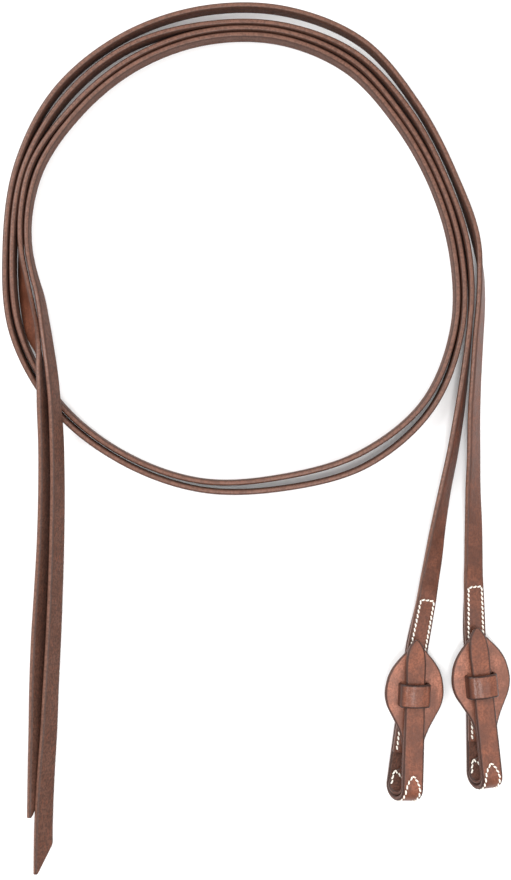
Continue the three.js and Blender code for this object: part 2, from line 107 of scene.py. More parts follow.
SKIVE_DEPTH = 3.4 * MM
SKIVE_RUN = 45 * MM
SKIVE_INSET = 1.2 * MM
DISC_DROOP = 7.5
KEEPER_CROWN = 1.6 * MM
LINER_SEAM_TIP = 2.7 * MM
LINER_SEAM_FOOT = 13 * MM
KEEPER_BEND = 3.6 * MM
# Where the keeper's painted shade starts and where it is full, from the middle of its band, where
# the band bends down into the slot.
KEEPER_PAINTED_SHADE_FROM = 8.2 * MM
KEEPER_PAINTED_SHADE_TO = 10.8 * MM
KEEPER_BASE = 10 * MM
BACK_SEAM_FOOT = 14 * MM
BACK_SEAM_TIP = 21 * MM
FRONT_SEAM_FOOT = 10 * MM
FRONT_SEAM_TIP = 18.6 * MM
TONGUE_ROOT_END = 14 * MM
KEEPER_PLAY = 0.1 * MM
SLOT_CORNER = 2 * MM
SLOT_CUT_FROM = 6 * MM
SLOT_CUT_TO = 14 * MM

# How close the stations of a smooth route lie, and how far apart a direction is read.
ROUTE_STEP = 2.5 * MM
DIRECTION_REACH = 4 * MM

CAMERA_HEIGHT = 1.1
CAMERA_LENS = 60.3
CAMERA_SHIFT = (-0.6 * MM, 1.5 * MM)

# Where on one endless hide each rein was cut, so that no two have the same marks.
HIDE_PLACE = {"left": 0.31, "right": 1.17}

COIL_CENTRE = (-0.0098, 0.1426)
COIL_STEP = 20

TAB_OUTLINE = [
    (34, 7.6), (40, 8.2), (46, 9.8), (52, 12.2), (60, 16.5), (68, 20.7), (76, 22.5), (84, 21.9),
    (91, 20.1), (97, 17.1), (102, 13.4), (106, 9.8), (110, 6), (112, 2.5),
]
LINER_OUTLINE = [(10, 7.6), (14, 6.6), (18, 4.4), (21, 2), (22.2, 0.8)]
TONGUE_OUTLINE = [
    (10, 7.95), (20, 7.95), (40, 7.85), (60, 7.7), (84, 7.4), (105, 7.2), (109.5, 6.4),
    (113, 4.9), (115.8, 3), (117.2, 1.7), (118, 0.7),
]

# Each rein's line, the same points as in the CAD model. `back` is [place, x, y] along the bit
# end, `leg` is (x, y, roll), `radii` are the coil's every 20 degrees, `tail` is (x, y, z, roll).
REINS = {
    "left": {
        "keeper_at": 0.077,
        "front_yaw": 6,
        "back": [(0, 0.1031, -0.262), (0.077, 0.1138, -0.1857), (0.110, 0.1184, -0.153),
                 (0.152, 0.1242, -0.1115)],
        "flex": (0.129, -0.1, 29),
        "leg": [(0.131, -0.088, 33), (0.1344, -0.065, 46), (0.1395, -0.0363, 58),
                (0.1453, -0.0082, 62), (0.1501, 0.0202, 66), (0.154, 0.0485, 73),
                (0.1572, 0.077, 80), (0.1592, 0.1126, 86)],
        "radii": [0.1661, 0.158, 0.1595, 0.1661, 0.1672, 0.1676, 0.1716, 0.1724, 0.1724, 0.1702,
                  0.1754, 0.1771, 0.1753, 0.1742, 0.1709, 0.1742, 0.1754, 0.1665,
                  0.155, 0.1482, 0.1481, 0.1547, 0.1575, 0.1575, 0.1575, 0.1585, 0.162, 0.1588],
        "tail": [(-0.1649, 0.124, 0.0082, 93), (-0.1603, 0.108, 0.0095, 97),
                 (-0.1564, 0.089, 0.014, 101), (-0.1528, 0.0705, 0.02, 104),
                 (-0.1494, 0.05, 0.0244, 107), (-0.1474, 0.03, 0.0247, 108),
                 (-0.146, 0.008, 0.0242, 113), (-0.1459, -0.025, 0.019, 115),
                 (-0.147, -0.065, 0.013, 117), (-0.1486, -0.105, 0.0094, 118),
                 (-0.1504, -0.146, 0.0081, 120), (-0.1522, -0.18, 0.008, 122),
                 (-0.1538, -0.214, 0.0079, 126), (-0.1561, -0.2486, 0.0077, 130),
                 (-0.1578, -0.285, 0.0074, 135), (-0.1582, -0.3105, 0.0071, 138)],
    },
    "right": {
        "keeper_at": 0.0745,
        "front_yaw": 5,
        "back": [(0, 0.1639, -0.2538), (0.077, 0.1633, -0.1768), (0.110, 0.1612, -0.1438),
                 (0.152, 0.1582, -0.1018)],
        "flex": (0.1612, -0.092, 29),
        "leg": [(0.1612, -0.08, 31), (0.1611, -0.06, 37), (0.1607, -0.0363, 46),
                (0.1611, -0.0082, 54), (0.1613, 0.0202, 57), (0.1626, 0.0485, 62),
                (0.1643, 0.077, 64), (0.1662, 0.1052, 70), (0.166, 0.127, 78)],
        "radii": [0.1739, 0.1652, 0.1672, 0.1768, 0.1792, 0.1793, 0.1801, 0.1808, 0.1776, 0.1752,
                  0.1812, 0.1826, 0.1808, 0.1804, 0.1793, 0.184, 0.1824, 0.1718,
                  0.1602, 0.153, 0.1529, 0.1602, 0.1624, 0.1624, 0.1624, 0.1634, 0.1679],
        "tail": [(-0.1736, 0.1714, 0.0083, 88), (-0.1743, 0.1426, 0.0084, 82),
                 (-0.1721, 0.118, 0.0086, 61), (-0.1689, 0.099, 0.01, 48),
                 (-0.1642, 0.08, 0.0147, 50), (-0.1592, 0.066, 0.02, 80),
                 (-0.1572, 0.054, 0.0234, 98), (-0.1562, 0.045, 0.0247, 103),
                 (-0.1554, 0.025, 0.0246, 108),
                 (-0.1542, 0.002, 0.0225, 115), (-0.1548, -0.035, 0.0165, 117),
                 (-0.1566, -0.075, 0.011, 118), (-0.159, -0.112, 0.0086, 119),
                 (-0.1611, -0.146, 0.0081, 120), (-0.1622, -0.1806, 0.008, 122),
                 (-0.1625, -0.2146, 0.0079, 126), (-0.163, -0.249, 0.0076, 130),
                 (-0.1632, -0.2685, 0.0075, 132)],
    },
}

UP = np.array([0.0, 0.0, 1.0])


def shift_of_frame():
    """How far the routes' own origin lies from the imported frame's."""
    joints = {joint["name"]: joint for joint in frame["joints"]}
    hinge = joints["left_bit_end_flex"]["pos_m"]
    x, y, _ = REINS["left"]["flex"]
    return np.array([hinge[0] - x, hinge[1] - y, -TABLE_CLEARANCE])


SHIFT = shift_of_frame()


# ---- Stations ---------------------------------------------------------------------------------

def unit(vectors):
    return vectors / np.linalg.norm(vectors, axis=-1, keepdims=True)


def smooth_step(start, end, value):
    """0 at `start` and 1 at `end`, smooth between them; `start` may be the larger."""
    share = np.clip((value - start) / (end - start), 0, 1)
    return share * share * (3 - 2 * share)


def rolled(along, rolls):
    """Directions (across, out) of a strap that lies along `along`, rolled by `rolls` degrees."""
    side = unit(np.cross(UP, along))
    upward = np.cross(along, side)
    turn = np.radians(np.asarray(rolls, float))[:, None]
    return (side * np.cos(turn) + upward * np.sin(turn),
            upward * np.cos(turn) - side * np.sin(turn))


def measured(points, along, across, out):
    """Stations with the length along the strap of each."""
    steps_taken = np.linalg.norm(np.diff(points, axis=0), axis=1)
    length = np.concatenate([[0], np.cumsum(steps_taken)])
    return {"point": points, "along": along, "across": across, "out": out, "length": length}


def stations(points, rolls):
    """Stations through close points."""
    along = unit(np.gradient(points, axis=0))
    return measured(points, along, *rolled(along, rolls))


def smooth(places, rows, wanted):
    """Rows of values at the wanted places, on a smooth curve through the rows given."""
    slopes = np.gradient(rows, places, axis=0)
    i = np.clip(np.searchsorted(places, wanted, side="right") - 1, 0, len(places) - 2)
    span = (places[i + 1] - places[i])[:, None]
    t = np.clip((wanted - places[i])[:, None] / span, 0, 1)
    return (rows[i] * (2 * t**3 - 3 * t**2 + 1) + rows[i + 1] * (3 * t**2 - 2 * t**3)
            + slopes[i] * span * (t**3 - 2 * t**2 + t) + slopes[i + 1] * span * (t**3 - t**2))


def smooth_route(rows, step):
    """Rows (x, y, z, roll) filled in smoothly, about every `step` metres."""
    places = np.concatenate([[0], np.cumsum(np.linalg.norm(np.diff(rows[:, :3], axis=0), axis=1))])
    return smooth(places, rows, steps(0, places[-1], step))


def outline_at(outline, places):
    """Half-widths at places up the strap, from an outline's (place, half-width) rows in mm."""
    rows = np.array(outline, float) * MM
    return smooth(rows[:, 0], rows[:, 1:], np.clip(places, rows[0, 0], rows[-1, 0]))[:, 0]


def at_lengths(strap, wanted):
    """Stations at the given lengths along a strap. `length` stays the whole strap's."""
    parts = {"length": np.asarray(wanted, float)}
    for key in ("point", "along", "across", "out"):
        columns = [np.interp(wanted, strap["length"], strap[key][:, c]) for c in range(3)]
        parts[key] = np.stack(columns, axis=1)
    for key in ("along", "across", "out"):
        parts[key] = unit(parts[key])
    return parts


def between(strap, start, end):
    """The strap's stations from one length along it to another, with both ends exact."""
    inside = (strap["length"] > start + 0.1 * MM) & (strap["length"] < end - 0.1 * MM)
    return at_lengths(strap, np.concatenate([[start], strap["length"][inside], [end]]))


def on_strap(strap, lengths, across, out):
    """Points at lengths along a strap, and so far across and out of its middle."""
    here = at_lengths(strap, lengths)
    return (here["point"] + here["across"] * np.reshape(across, (-1, 1))
            + here["out"] * np.reshape(out, (-1, 1)))


# ---- Places on a rein -------------------------------------------------------------------------

class BitEnd:
    """Places on one bit end: its back leg, which lies on the table, and its front leg.

    A place is a distance up the strap from the bottom of the fold.
    """

    def __init__(self, rein):
        self.line = np.array(rein["back"])
        self.keeper_at = rein["keeper_at"]
        self.turn = math.radians(rein["front_yaw"])
        base = self.back([self.keeper_at - KEEPER_BASE])
        along, across = base["along"][0], base["across"][0]
        self.origin = self.back_point([self.keeper_at])[0]
        self.along = along * math.cos(self.turn) + across * math.sin(self.turn)
        self.across = across * math.cos(self.turn) - along * math.sin(self.turn)
        self.out = base["out"][0]

    @staticmethod
    def roll(places):
        """Degrees that the bit end is rolled over at places up it."""
        share = np.clip((np.asarray(places) - TWIST_START) / (LAP_TOP - TWIST_START), 0, 1)
        return BIT_END_ROLL + share * (LAP_TOP_ROLL - BIT_END_ROLL)

    def back_point(self, places):
        x = np.interp(places, self.line[:, 0], self.line[:, 1])
        y = np.interp(places, self.line[:, 0], self.line[:, 2])
        z = STRAP_WIDTH / 2 * np.sin(np.radians(self.roll(places))) + TABLE_CLEARANCE
        return np.stack([x, y, z], axis=1) + SHIFT

    def back(self, places, lift=0.0, turned=0.0):
        """Stations on the back leg's table-side face, or `lift` out of it.

        `turned` is the share of the front leg's turn that each station already has.
        """
        places = np.asarray(places, float)
        ahead = self.back_point(np.minimum(places + DIRECTION_REACH, LAP_TOP))
        along = ahead - self.back_point(places - DIRECTION_REACH)
        along[:, 2] = 0
        point = self.back_point(places)
        across, out = rolled(unit(along), self.roll(places))
        along = np.cross(across, out)
        turn = (self.turn * np.broadcast_to(turned, places.shape))[:, None]
        across, along = (across * np.cos(turn) - along * np.sin(turn),
                         along * np.cos(turn) + across * np.sin(turn))
        return measured(point + out * lift, along, across, out)

    def front(self, places, across, out):
        """Points of the front: how far up, across, and out from the back leg's face."""
        places, across, out = (np.asarray(v, float).reshape(-1, 1) for v in (places, across, out))
        return (self.origin + self.along * (places - self.keeper_at)
                + self.across * across + self.out * out)

    def drift(self, places):
        """How far to the side of the front leg's line the back leg's line runs."""
        return (self.keeper_at - np.asarray(places)) * math.sin(self.turn)

    def through(self, rows):
        """Stations through (place, across, out) rows, square to the front leg's own plane."""
        rows = np.asarray(rows, float)
        points = self.front(*rows.T)
        along = np.gradient(points, axis=0)
        along = unit(along - (along @ self.across)[:, None] * self.across)
        across = np.tile(self.across, (len(rows), 1))
        return measured(points, along, across, np.cross(along, across))

    def fold_rows(self, radius):
        """Rows round the fold, from the back leg's side to the front leg's."""
        turn = np.radians(np.arange(0, 181, 5))
        return np.stack([FOLD_CENTRE - radius * np.sin(turn),
                         self.drift(FOLD_CENTRE) * (1 + np.cos(turn)) / 2,
                         FOLD_DEPTH / 2 - radius * np.cos(turn)], axis=1)

    def middle_hinge(self):
        """Place of the tongue's hinge half-way between the fold and the keeper."""
        return (HINGE_FOLD + self.keeper_at - HINGE_TO_KEEPER) / 2


def tongue_face(places):
    """Height of the tongue's grain face over the back leg's table-side face."""
    return FOLD_DEPTH - (places - FOLD_CENTRE) * TONGUE_SLOPE


def steps(start, end, step):
    """Places from start to end, about `step` apart, in either direction."""
    return np.linspace(start, end, max(2, round(abs(end - start) / step) + 1))


def resting(x, y, roll):
    """A row (x, y, z, roll) where a rein rests on the table at that roll."""
    turn = math.radians(roll)
    rise = STRAP_WIDTH * abs(math.sin(turn)) + REIN_THICKNESS * abs(math.cos(turn))
    return (x, y, rise / 2 + TABLE_CLEARANCE, roll)


def coil_rows(radii):
    """Rows (x, y, z, roll) of the coil, where the strap stands on its edge."""
    rows = []
    for i, radius in enumerate(radii):
        turn = math.radians(i * COIL_STEP)
        x = COIL_CENTRE[0] + radius * math.cos(turn)
        y = COIL_CENTRE[1] + radius * math.sin(turn)
        rows.append(resting(x, y, ON_EDGE))
    return rows


def whole_rein(rein, bit_end):
    """Stations of the rein from its sewn end, up the leg, twice round the coil, to the tail."""
    places = np.array([32, 52, 72, 92, 112, 125, 138, 152]) * MM
    lap = bit_end.back(places, BILLET_THICKNESS + GAP + REIN_THICKNESS / 2)
    lap_rows = np.column_stack([lap["point"], bit_end.roll(places)])
    rest = [resting(*rein["flex"])] + [resting(*point) for point in rein["leg"]]
    rest = np.array(rest + coil_rows(rein["radii"]) + list(rein["tail"]))
    rest[:, :3] += SHIFT
    rows = smooth_route(np.concatenate([lap_rows, rest]), ROUTE_STEP)
    return stations(rows[:, :3], rows[:, 3])


def whole_billet(bit_end):
    """Stations of the billet: down behind the rein, round the fold and up to the tongue's point."""
    half = BILLET_THICKNESS / 2
    down = steps(LAP_TOP, FOLD_CENTRE + 1.5 * MM, ROUTE_STEP)
    turned = smooth_step(REIN_END, FOLD_CENTRE, down)
    back = bit_end.back(down, half, turned)
    back["along"], back["out"] = -back["along"], -back["out"]
    up = steps(FOLD_CENTRE + 1.5 * MM, TONGUE_END, 1.5 * MM)
    front_rows = np.column_stack([up, np.zeros_like(up), tongue_face(up) - half])
    front = bit_end.through(np.concatenate([bit_end.fold_rows(FOLD_DEPTH / 2 - half), front_rows]))
    return joined(back, front)


def whole_tab(bit_end):
    """Stations and half-widths of the tab: liner inside the fold, neck up its front, disc."""
    under = BILLET_THICKNESS + GAP + TAB_THICKNESS / 2
    over = under + REIN_THICKNESS + GAP
    down = steps(LINER_END, FOLD_CENTRE + 1 * MM, 1 * MM)
    fold = bit_end.fold_rows(FOLD_DEPTH / 2 - under)
    up = steps(FOLD_CENTRE + 1 * MM, TAB_END, 1 * MM)
    neck = smooth_step(52 * MM, 30 * MM, up)
    heights = over + (tongue_face(up) - under - over) * neck
    rows = [np.column_stack([down, bit_end.drift(down), np.full_like(down, under)]), fold,
            np.column_stack([up, DISC_SHIFT * (1 - neck), heights])]
    half_widths = [outline_at(LINER_OUTLINE, down), np.full(len(fold), NECK_HALF_WIDTH),
                   outline_at(TAB_OUTLINE, up)]
    return bit_end.through(np.concatenate(rows)), np.concatenate(half_widths)


def joined(first, second):
    """Stations of one strap and then of another, as a single strap."""
    keys = ("point", "along", "across", "out")
    return measured(*[np.concatenate([first[key], second[key]]) for key in keys])


def place_of(strap, point):
    """Length along a strap of the station nearest a point."""
    return strap["length"][np.argmin(np.linalg.norm(strap["point"] - point, axis=1))]


# ---- Strips of leather ------------------------------------------------------------------------

def section(half_width, thickness, radius, face_points):
    """A strap's rounded section as (across, out) rows, counter-clockwise about `along`."""
    half = thickness / 2
    radius = min(radius, half * 0.96, half_width * 0.9)
    arc = np.radians(np.linspace(0, 90, 5))
    corner = np.stack([np.cos(arc), np.sin(arc)], axis=1) * radius
    corner += (half_width - radius, half - radius)
    across = np.linspace(half_width - radius, radius - half_width, face_points)[1:-1]
    face = np.stack([across, np.full_like(across, half)], axis=1)
    upper = np.concatenate([corner, face, corner[::-1] * (-1, 1)])
    return np.concatenate([upper, -upper])


def end_insets(strap, rounded):
    """(station, how far in from the outline, how far back from the end) for every ring."""
    length = strap["length"]
    start, end = length[0], length[-1]
    bend = [(END_RADIUS * (1 - math.cos(a)), END_RADIUS * (1 - math.sin(a)))
            for a in np.radians([90, 60, 30, 0])]
    rings = [(i, 0.0, 0.0) for i in range(len(length))
             if (not rounded[0] or length[i] > start + END_RADIUS)
             and (not rounded[1] or length[i] < end - END_RADIUS)]
    if rounded[0]:
        rings = [(0, inset, back) for inset, back in bend] + rings
    if rounded[1]:
        rings += [(len(length) - 1, inset, -back) for inset, back in reversed(bend)]
    return rings


def strip(name, strap, half_widths, thickness, material, rounded=(True, True), face_points=9,
          shape=None):
    """A leather strip through stations; `shape(place, across, out)` shifts points along and out."""
    half_widths = np.broadcast_to(half_widths, strap["length"].shape)
    hide_place = HIDE_PLACE[name.split("_")[0]]
    points, flat, deep = [], [], []
    for i, inset, back in end_insets(strap, rounded):
        half_width = max(half_widths[i] - inset, 0.15 * MM)
        outline = section(half_width, thickness - 2 * inset, EDGE_RADIUS, face_points)
        across, out = outline[:, 0], outline[:, 1]
        place = strap["length"][i] + back
        on, off = shape(place, across, out) if shape else (0.0, 0.0)
        on, off = np.broadcast_to(on, across.shape), np.broadcast_to(off, across.shape)
        points.append(strap["point"][i] + np.outer(across, strap["across"][i])
                      + np.outer(out + off, strap["out"][i])
                      + np.outer(back + on, strap["along"][i]))
        flat.append(np.stack([place + on, across + hide_place], axis=1))
        deep.append(np.stack([out, half_width - np.abs(across)], axis=1))
    piece = skin(name, np.array(points), material)
    set_uv(piece.data, "flat", np.concatenate(flat))
    set_uv(piece.data, "deep", np.concatenate(deep))
    return piece


def skin(name, rings, material):
    """A closed mesh through rings of points, smooth but for its cut ends."""
    count, around = rings.shape[:2]
    i, j = np.meshgrid(np.arange(count - 1) * around, np.arange(around), indexing="ij")
    i, j = i.ravel(), j.ravel()
    k = (j + 1) % around
    faces = np.stack([i + j, i + k, i + k + around, i + j + around], axis=1).tolist()
    faces.append(list(range(around))[::-1])
    faces.append(list(range((count - 1) * around, count * around)))
    mesh = bpy.data.meshes.new(name)
    mesh.from_pydata(rings.reshape(-1, 3).tolist(), [], faces)
    mesh.shade_smooth()
    mesh.set_sharp_from_angle(angle=math.radians(60))
    mesh.materials.append(material)
    piece = bpy.data.objects.new(name, mesh)
    bpy.context.scene.collection.objects.link(piece)
    return piece


def set_uv(mesh, name, values):
    """Gives a mesh a UV map with one value for each vertex."""
    vertex = np.zeros(len(mesh.loops), int)
    mesh.loops.foreach_get("vertex_index", vertex)
    mesh.uv_layers.new(name=name).data.foreach_set("uv", values[vertex].astype(np.float32).ravel())


# ---- Stitching --------------------------------------------------------------------------------

def seam_distance(seam, place, across):
    """How far points of the flat leather lie from a seam, a line of (place, across) corners."""
    nearest = np.full(across.shape, np.inf)
    for (place_a, across_a), (place_b, across_b) in zip(seam[:-1], seam[1:]):
        run = np.array([place_b - place_a, across_b - across_a])
        share = ((place - place_a) * run[0] + (across - across_a) * run[1]) / (run @ run)
        share = np.clip(share, 0, 1)
        away = np.hypot(place_a + share * run[0] - place, across_a + share * run[1] - across)
        nearest = np.minimum(nearest, away)
    return nearest


def pressed(seam, side=1):
    """A strip's `shape` where a seam draws the leather of one face down."""
    def shape(place, across, out):
        depth = SEAM_DEPTH * np.exp(-(seam_distance(seam, place, across) / SEAM_REACH) ** 2)
        return 0.0, np.where(out * side > 0, -side * depth, 0.0)
    return shape


def skived(shape):
    """A billet's `shape`, pared thin on its table side towards the end that is sewn in."""
    def pared(place, across, out):
        on, off = shape(place, across, out)
        thin = SKIVE_DEPTH * smooth_step(SKIVE_RUN, 0, place)
        return on, off - thin * (out / BILLET_THICKNESS + 0.5)
    return pared


def seam_places(seam):
    """Both ends of every stitch of a seam, as (place, across) rows, a little aslant."""
    seam = np.asarray(seam, float)
    reach = np.concatenate([[0], np.cumsum(np.linalg.norm(np.diff(seam, axis=0), axis=1))])
    count = round(reach[-1] / STITCH_PITCH)
    middles = (np.arange(count) + 0.5) * reach[-1] / count
    ends = []
    for middle in middles:
        here = np.array([np.interp(middle + s, reach, seam[:, c])
                         for s in (-STITCH_LENGTH / 2, STITCH_LENGTH / 2) for c in (0, 1)])
        first, last = here[:2], here[2:]
        run = (last - first) / max(np.linalg.norm(last - first), 1e-6)
        aslant = STITCH_SLANT * np.array([-run[1], run[0]])
        ends.append((first - aslant, last + aslant))
    return ends


def stitches(name, strap, seam, face, material):
    """One mesh of separate stitches along a seam. `face` is the face's height out of the middle."""
    side = math.copysign(1, face)
    rings = []
    for first, last in seam_places(seam):
        share = np.linspace(0, 1, 7)
        line = first + np.outer(share, last - first)
        sink = np.abs(2 * share - 1) ** 3
        height = face + side * (THREAD_PROUD - sink * (THREAD_PROUD + THREAD_DIAMETER * 0.55))
        points = on_strap(strap, line[:, 0], line[:, 1], height)
        normal = at_lengths(strap, line[:, 0])["out"] * side
        rings.append(tube_rings(points, normal, THREAD_DIAMETER / 2 * (1 - 0.25 * sink)))
    return stitch_mesh(name, np.array(rings), material)


def tube_rings(points, normals, radii):
    """Rings of points round a line."""
    along = unit(np.gradient(points, axis=0))
    across = unit(np.cross(normals, along))
    up = np.cross(along, across)
    turn = np.radians(np.arange(0, 360, 45))
    spokes = (across[:, None] * np.cos(turn)[None, :, None]
              + up[:, None] * np.sin(turn)[None, :, None])
    return points[:, None] + radii[:, None, None] * spokes


def stitch_mesh(name, stitches_rings, material):
    """One mesh of many short tubes, with UV maps for the thread's twist."""
    count, length, around = stitches_rings.shape[:3]
    vertices = stitches_rings.reshape(-1, 3)
    faces = []
    for s in range(count):
        base = s * length * around
        for i in range(length - 1):
            for j in range(around):
                k = (j + 1) % around
                near, far = base + i * around, base + (i + 1) * around
                faces.append((near + j, near + k, far + k, far + j))
        faces.append(tuple(range(base, base + around))[::-1])
        faces.append(tuple(range(base + (length - 1) * around, base + length * around)))
    mesh = bpy.data.meshes.new(name)
    mesh.from_pydata(vertices.tolist(), [], faces)
    mesh.shade_smooth()
    mesh.materials.append(material)
    piece = bpy.data.objects.new(name, mesh)
    bpy.context.scene.collection.objects.link(piece)
    index = np.arange(count * length * around)
    run = (index // around % length) / (length - 1) + index // (around * length)
    set_uv(mesh, "flat", np.stack([run * STITCH_LENGTH, index % around / around * MM], axis=1))
    return piece


# ---- Materials --------------------------------------------------------------------------------

class Nodes:
    """A material's node tree, built by short calls that return sockets."""

    def __init__(self, slot):
        self.material = bpy.data.materials.new(f"detailed_{slot}")
        self.material["slot"] = slot
        self.material.use_nodes = True
        self.tree = self.material.node_tree
        self.shader = self.tree.nodes["Principled BSDF"]

    def add(self, kind, **settings):
        node = self.tree.nodes.new(kind)
        for key, value in settings.items():
            setattr(node, key, value)
        return node

    def feed(self, socket, value):
        if isinstance(value, bpy.types.NodeSocket):
            self.tree.links.new(value, socket)
        else:
            socket.default_value = value

    def math(self, operation, a, b=0.0):
        node = self.add("ShaderNodeMath", operation=operation)
        self.feed(node.inputs[0], a)
        self.feed(node.inputs[1], b)
        return node.outputs[0]

    def ramp(self, value, low, high):
        """0 below `low` and 1 above `high`, smooth between them; `low` may be the larger."""
        node = self.add("ShaderNodeMapRange", interpolation_type="SMOOTHSTEP")
        self.feed(node.inputs["Value"], value)
        ends = [(low, 0.0), (high, 1.0)] if low < high else [(high, 1.0), (low, 0.0)]
        (node.inputs["From Min"].default_value, node.inputs["To Min"].default_value) = ends[0]
        (node.inputs["From Max"].default_value, node.inputs["To Max"].default_value) = ends[1]
        return node.outputs["Result"]

    def mix(self, share, a, b):
        """Colour `a` where share is 0, `b` where it is 1."""
        node = self.add("ShaderNodeMix", data_type="RGBA")
        self.feed(node.inputs["Factor"], share)
        self.feed(node.inputs["A"], a)
        self.feed(node.inputs["B"], b)
        return node.outputs["Result"]

    def stretched(self, vector, scale):
        node = self.add("ShaderNodeVectorMath", operation="MULTIPLY")
        self.feed(node.inputs[0], vector)
        node.inputs[1].default_value = scale
        return node.outputs["Vector"]

    def noise(self, vector, scale, detail=2.0):
        node = self.add("ShaderNodeTexNoise")
        self.feed(node.inputs["Vector"], vector)
        node.inputs["Scale"].default_value = scale
        node.inputs["Detail"].default_value = detail
        return node.outputs["Fac"]

    def cells(self, vector, scale):
        node = self.add("ShaderNodeTexVoronoi")
        self.feed(node.inputs["Vector"], vector)
        node.inputs["Scale"].default_value = scale
        return node.outputs["Distance"]

    def bump(self, height, distance, strength, normal=None):
        node = self.add("ShaderNodeBump")
        node.inputs["Distance"].default_value = distance
        node.inputs["Strength"].default_value = strength
        self.feed(node.inputs["Height"], height)
        if normal is not None:
            self.feed(node.inputs["Normal"], normal)
        return node.outputs["Normal"]

    def leather_place(self):
        """Place on the flat leather, way along it, way out of its middle, way in from its edge."""
        parts = []
        for name in ("flat", "deep"):
            split = self.add("ShaderNodeSeparateXYZ")
            self.feed(split.inputs[0], self.add("ShaderNodeUVMap", uv_map=name).outputs["UV"])
            parts.append(split.outputs)
        (along, across, _), (out, inward, _) = parts
        whole = self.add("ShaderNodeCombineXYZ")
        for socket, value in zip(whole.inputs, (along, across, out)):
            self.feed(socket, value)
        return whole.outputs[0], along, out, inward


def shade(colour, factor):
    """A colour made darker or lighter, and opaque."""
    return tuple(c * factor for c in colour[:3]) + (1.0,)


def leather(slot, face, edge, flesh, mottled=0.3, roughness=0.42, burnish_and_painted_shade=0.85,
            painted_shade_ends=None):
    """Oiled harness leather: smooth grain face, fibrous flesh face, waxed and burnished edges.

    The next to last argument is how dark the shoulder beside each edge is made: partly the real
    burnished edge, partly painted shade where the rounded shoulder turns from the light and where
    straps shade each other.
    The last argument is how far from the middle of its length a piece starts to darken, and where
    it has done so: painted shade where the keeper's band bends down into its slot.
    """
    n = Nodes(slot)
    place, along, out, inward = n.leather_place()
    clouds = n.ramp(n.noise(place, 70, 3), 0.36, 0.66)
    smudges = n.ramp(n.noise(place, 240, 3), 0.5, 0.7)
    scuffs = n.ramp(n.noise(n.stretched(place, (60, 420, 420)), 1, 3), 0.56, 0.74)
    pores = n.cells(place, 1500)
    fibres = n.noise(n.stretched(place, (220, 800, 800)), 1, 3)
    nap = n.noise(place, 700, 4)

    grain = n.mix(clouds, shade(face, 1 - mottled), shade(face, 1 + mottled * 0.5))
    grain = n.mix(n.math("MULTIPLY", smudges, mottled), grain, shade(face, 0.45))
    grain = n.mix(n.math("MULTIPLY", scuffs, 0.3), grain, shade(face, 1.6))
    grain = n.mix(n.math("MULTIPLY", n.ramp(nap, 0.42, 0.6), 0.6), grain, shade(face, 0.5))
    grain = n.mix(n.math("MULTIPLY", n.ramp(pores, 0.22, 0.05), 0.35), grain, shade(face, 0.4))

    rough = n.mix(n.ramp(nap, 0.35, 0.65), shade(flesh, 0.68), shade(flesh, 1.3))
    red = (flesh[0] * 2.0, flesh[1] * 1.4, flesh[2] * 1.1, 1.0)
    rough = n.mix(n.math("MULTIPLY", n.ramp(fibres, 0.58, 0.7), 0.6), rough, red)
    rough = n.mix(n.math("MULTIPLY", clouds, 0.25), rough, shade(flesh, 0.6))

    grain_side = n.ramp(out, -0.2 * MM, 0.2 * MM)
    colour = n.mix(grain_side, rough, grain)
    # Darker band beside each edge: partly the real burnished edge, partly painted shade where the
    # rounded edge turns from the light.
    shoulder = n.ramp(inward, 1.9 * MM, 0.9 * MM)
    colour = n.mix(n.math("MULTIPLY", shoulder, burnish_and_painted_shade), colour, shade(edge, 0.28))
    crown = n.ramp(inward, 0.34 * MM, 0.04 * MM)
    waxed = n.mix(n.ramp(nap, 0.38, 0.62), shade(edge, 0.78), shade(edge, 1.25))
    colour = n.mix(crown, colour, waxed)
    # Painted shade: darker towards both ends of the piece's length, where the keeper's band bends
    # down into its slot.
    if painted_shade_ends:
        painted_end_shade = n.ramp(n.math("ABSOLUTE", along), *painted_shade_ends)
        colour = n.mix(n.math("MULTIPLY", painted_end_shade, 0.8), colour, shade(edge, 1))
    n.feed(n.shader.inputs["Base Color"], colour)

    flesh_side = n.math("SUBTRACT", 1.0, grain_side)
    flesh_share = n.math("MULTIPLY", flesh_side, n.ramp(inward, 1 * MM, 2 * MM))
    matte = n.math("ADD", roughness, n.math("MULTIPLY", flesh_share, 0.34))
    matte = n.math("ADD", matte, n.math("MULTIPLY", clouds, 0.08))
    matte = n.math("SUBTRACT", matte, n.math("MULTIPLY", crown, 0.1))
    n.feed(n.shader.inputs["Roughness"], matte)
    n.shader.inputs["Specular IOR Level"].default_value = 0.3
    creases = n.bump(n.noise(place, 420, 3), 0.4 * MM, 0.75)
    pebbled = n.bump(n.ramp(pores, 0.02, 0.35), 0.08 * MM, 0.5, creases)
    hairy = n.math("MULTIPLY", fibres, flesh_share)
    n.feed(n.shader.inputs["Normal"], n.bump(hairy, 0.35 * MM, 0.8, pebbled))
    return n.material


def waxed_thread(slot, colour):
    """Heavy waxed linen thread: two plies twisted together, a little soiled."""
    n = Nodes(slot)
    uv = n.add("ShaderNodeUVMap", uv_map="flat").outputs["UV"]
    twist = n.add("ShaderNodeTexWave", bands_direction="DIAGONAL")
    n.feed(twist.inputs["Vector"], n.stretched(uv, (1.0, 1.3, 1.0)))
    twist.inputs["Scale"].default_value = 420
    twist.inputs["Distortion"].default_value = 0.6
    soil = n.ramp(n.noise(uv, 700, 3), 0.45, 0.75)
    # Darker bands along the twist: painted shade in the grooves between the plies.
    plies = n.mix(n.ramp(twist.outputs["Fac"], 0.1, 0.6), shade(colour, 0.72), colour)
    n.feed(n.shader.inputs["Base Color"],
           n.mix(n.math("MULTIPLY", soil, 0.3), plies, (0.42, 0.28, 0.2, 1)))
    n.shader.inputs["Roughness"].default_value = 0.62
    n.feed(n.shader.inputs["Normal"], n.bump(twist.outputs["Fac"], 0.12 * MM, 0.7))
    return n.material


